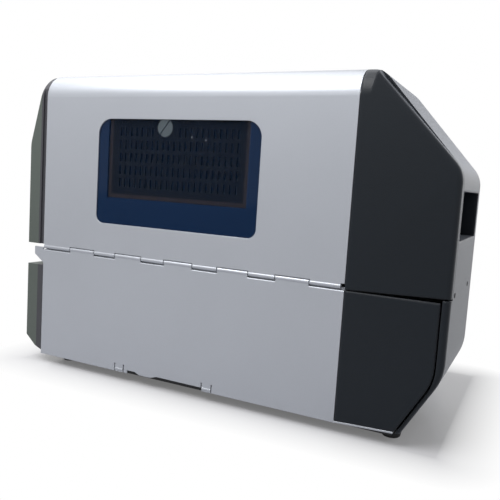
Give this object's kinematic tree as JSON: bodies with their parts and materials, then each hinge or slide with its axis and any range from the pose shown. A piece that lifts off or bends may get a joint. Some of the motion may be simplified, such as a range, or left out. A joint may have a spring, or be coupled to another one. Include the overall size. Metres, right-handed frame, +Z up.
{
  "type": "industrial label printer",
  "caption": "Industrial label printer with a folding side door, tinted window, black rear shell and a full print mechanism inside.",
  "frame": {"origin": "on the table, under the middle of the printer", "axes": "-Y is the front with the label exit, +X the media door's side, +Z up"},
  "size_m": [0.27, 0.469, 0.326],
  "materials": {
    "chassis_steel": "satin grey paint",
    "zinc_steel": "zinc-plated sheet",
    "silver_paint": "satin silver paint",
    "black_moulding": "fine-grained black",
    "front_moulding": "fine-grained grey-black",
    "liner_plastic": "matt dark grey",
    "grille_plastic": "matt near-black",
    "pane": "tinted clear",
    "lens": "clear",
    "shaft_steel": "ground",
    "bronze": "sintered",
    "aluminium": "machined",
    "rubber_black": "matt",
    "platen_rubber": "ground",
    "belt_rubber": "matt",
    "motor_black": "black paint",
    "green_board": "solder mask",
    "component_plastic": "moulded",
    "socket_black": "moulded",
    "port_steel": "plated",
    "key_grey": "light grey",
    "lever_blue": "blue",
    "media_plastic": "dark grey"
  },
  "bodies": {
    "chassis": {"base_pan": "zinc_steel", "feet": "rubber_black", "centre_wall": "chassis_steel", "front_bulkhead": "chassis_steel", "electronics_cover": "silver_paint", "rear_panel": "zinc_steel", "rear_frame": "black_moulding", "front_cover_upper": "front_moulding", "front_cover_lower": "front_moulding", "display_lens": "lens", "keypad_bezel": "liner_plastic", "control_boards": "green_board", "power_inlet": "socket_black", "data_ports": "port_steel", "top_hinge_leaf": "zinc_steel", "top_hinge_pin": "shaft_steel", "print_unit_frame": "zinc_steel", "shaft_bushes": "bronze", "drive_belt": "belt_rubber", "motor_bracket": "zinc_steel", "drive_motor": "motor_black", "tear_bar": "shaft_steel", "guide_rods": "shaft_steel", "media_hanger": "media_plastic", "logic_board": "green_board", "board_parts": "component_plastic", "power_supply": "zinc_steel"},
    "upper_door": {"media_door_upper": "silver_paint", "door_cover_upper": "black_moulding", "door_liner_upper": "liner_plastic", "window_pane": "pane", "window_grille": "grille_plastic", "grille_stud": "zinc_steel", "fold_hinge_pin": "shaft_steel"},
    "lower_door": {"media_door_lower": "silver_paint", "door_cover_lower": "black_moulding", "door_liner_lower": "liner_plastic"},
    "platen": {"platen_roller": "platen_rubber", "platen_shaft": "shaft_steel", "platen_pulley": "aluminium"},
    "motor_shaft": {"motor_pulley": "aluminium"},
    "idler": {"idler_roller": "shaft_steel"},
    "sensor": {"label_sensor": "component_plastic"},
    "head": {"printhead_bracket": "zinc_steel", "printhead": "aluminium"},
    "lever": {"head_lever": "lever_blue"},
    "supply_spindle": {"ribbon_supply_spindle": "media_plastic"},
    "takeup_spindle": {"ribbon_takeup_spindle": "media_plastic"},
    "roll_guide": {"media_guide": "media_plastic"},
    "tension": {"tension_arm": "shaft_steel"},
    "rocker": {"power_rocker": "socket_black"},
    "key_pause": {"key_pause": "key_grey"},
    "key_feed": {"key_feed": "key_grey"},
    "key_cancel": {"key_cancel": "key_grey"},
    "key_up": {"key_up": "key_grey"},
    "key_down": {"key_down": "key_grey"},
    "key_left": {"key_left": "key_grey"},
    "key_right": {"key_right": "key_grey"},
    "key_select": {"key_select": "key_grey"}
  },
  "joints": [
    {"name": "upper_door_hinge", "type": "hinge", "parent": "chassis", "child": "upper_door", "pos_m": [0.0029, 0, 0.322], "axis": [0, -1, 0], "range_deg": [0, 100]},
    {"name": "door_fold_hinge", "type": "hinge", "parent": "upper_door", "child": "lower_door", "pos_m": [0.1326, 0, 0.134], "axis": [0, -1, 0], "range_deg": [0, 105]},
    {"name": "platen_spin", "type": "hinge", "parent": "chassis", "child": "platen", "pos_m": [0.06, -0.196, 0.112], "axis": [1, 0, 0], "continuous": true},
    {"name": "motor_spin", "type": "hinge", "parent": "chassis", "child": "motor_shaft", "pos_m": [-0.01, -0.15, 0.06], "axis": [1, 0, 0], "continuous": true},
    {"name": "idler_spin", "type": "hinge", "parent": "chassis", "child": "idler", "pos_m": [0.06, -0.14, 0.114], "axis": [1, 0, 0], "continuous": true},
    {"name": "supply_spin", "type": "hinge", "parent": "chassis", "child": "supply_spindle", "pos_m": [0.06, -0.038, 0.235], "axis": [1, 0, 0], "continuous": true},
    {"name": "takeup_spin", "type": "hinge", "parent": "chassis", "child": "takeup_spindle", "pos_m": [0.06, -0.118, 0.252], "axis": [1, 0, 0], "continuous": true},
    {"name": "lever_turn", "type": "hinge", "parent": "chassis", "child": "lever", "pos_m": [0.06, -0.2, 0.172], "axis": [1, 0, 0], "range_deg": [0, 60]},
    {"name": "head_swing", "type": "hinge", "parent": "chassis", "child": "head", "pos_m": [0.06, -0.135, 0.15], "axis": [-1, 0, 0], "range_deg": [0, 9]},
    {"name": "tension_swing", "type": "hinge", "parent": "chassis", "child": "tension", "pos_m": [0.008, 0.024, 0.056], "axis": [1, 0, 0], "range_deg": [0, 18], "stiffness_Nm_per_rad": 0.6, "springref_deg": -20.05},
    {"name": "guide_slide", "type": "slide", "parent": "chassis", "child": "roll_guide", "axis": [-1, 0, 0], "range_m": [0, 0.085]},
    {"name": "sensor_slide", "type": "slide", "parent": "chassis", "child": "sensor", "axis": [1, 0, 0], "range_m": [-0.012, 0.07]},
    {"name": "rocker_tilt", "type": "hinge", "parent": "chassis", "child": "rocker", "pos_m": [-0.102, 0.2108, 0.142], "axis": [1, 0, 0], "range_deg": [-8, 8]},
    {"name": "key_pause_press", "type": "slide", "parent": "chassis", "child": "key_pause", "axis": [0, 1, 0], "range_m": [0, 0.001], "stiffness_N_per_m": 300, "springref_m": -0.0015},
    {"name": "key_feed_press", "type": "slide", "parent": "chassis", "child": "key_feed", "axis": [0, 1, 0], "range_m": [0, 0.001], "stiffness_N_per_m": 300, "springref_m": -0.0015},
    {"name": "key_cancel_press", "type": "slide", "parent": "chassis", "child": "key_cancel", "axis": [0, 1, 0], "range_m": [0, 0.001], "stiffness_N_per_m": 300, "springref_m": -0.0015},
    {"name": "key_up_press", "type": "slide", "parent": "chassis", "child": "key_up", "axis": [0, 1, 0], "range_m": [0, 0.001], "stiffness_N_per_m": 300, "springref_m": -0.0015},
    {"name": "key_down_press", "type": "slide", "parent": "chassis", "child": "key_down", "axis": [0, 1, 0], "range_m": [0, 0.001], "stiffness_N_per_m": 300, "springref_m": -0.0015},
    {"name": "key_left_press", "type": "slide", "parent": "chassis", "child": "key_left", "axis": [0, 1, 0], "range_m": [0, 0.001], "stiffness_N_per_m": 300, "springref_m": -0.0015},
    {"name": "key_right_press", "type": "slide", "parent": "chassis", "child": "key_right", "axis": [0, 1, 0], "range_m": [0, 0.001], "stiffness_N_per_m": 300, "springref_m": -0.0015},
    {"name": "key_select_press", "type": "slide", "parent": "chassis", "child": "key_select", "axis": [0, 1, 0], "range_m": [0, 0.001], "stiffness_N_per_m": 300, "springref_m": -0.0015}
  ],
  "couplings": [
    {"joint": "motor_spin", "follows": "platen_spin", "ratio": 2.5},
    {"joint": "head_swing", "follows": "lever_turn", "ratio": 0.15}
  ]
}
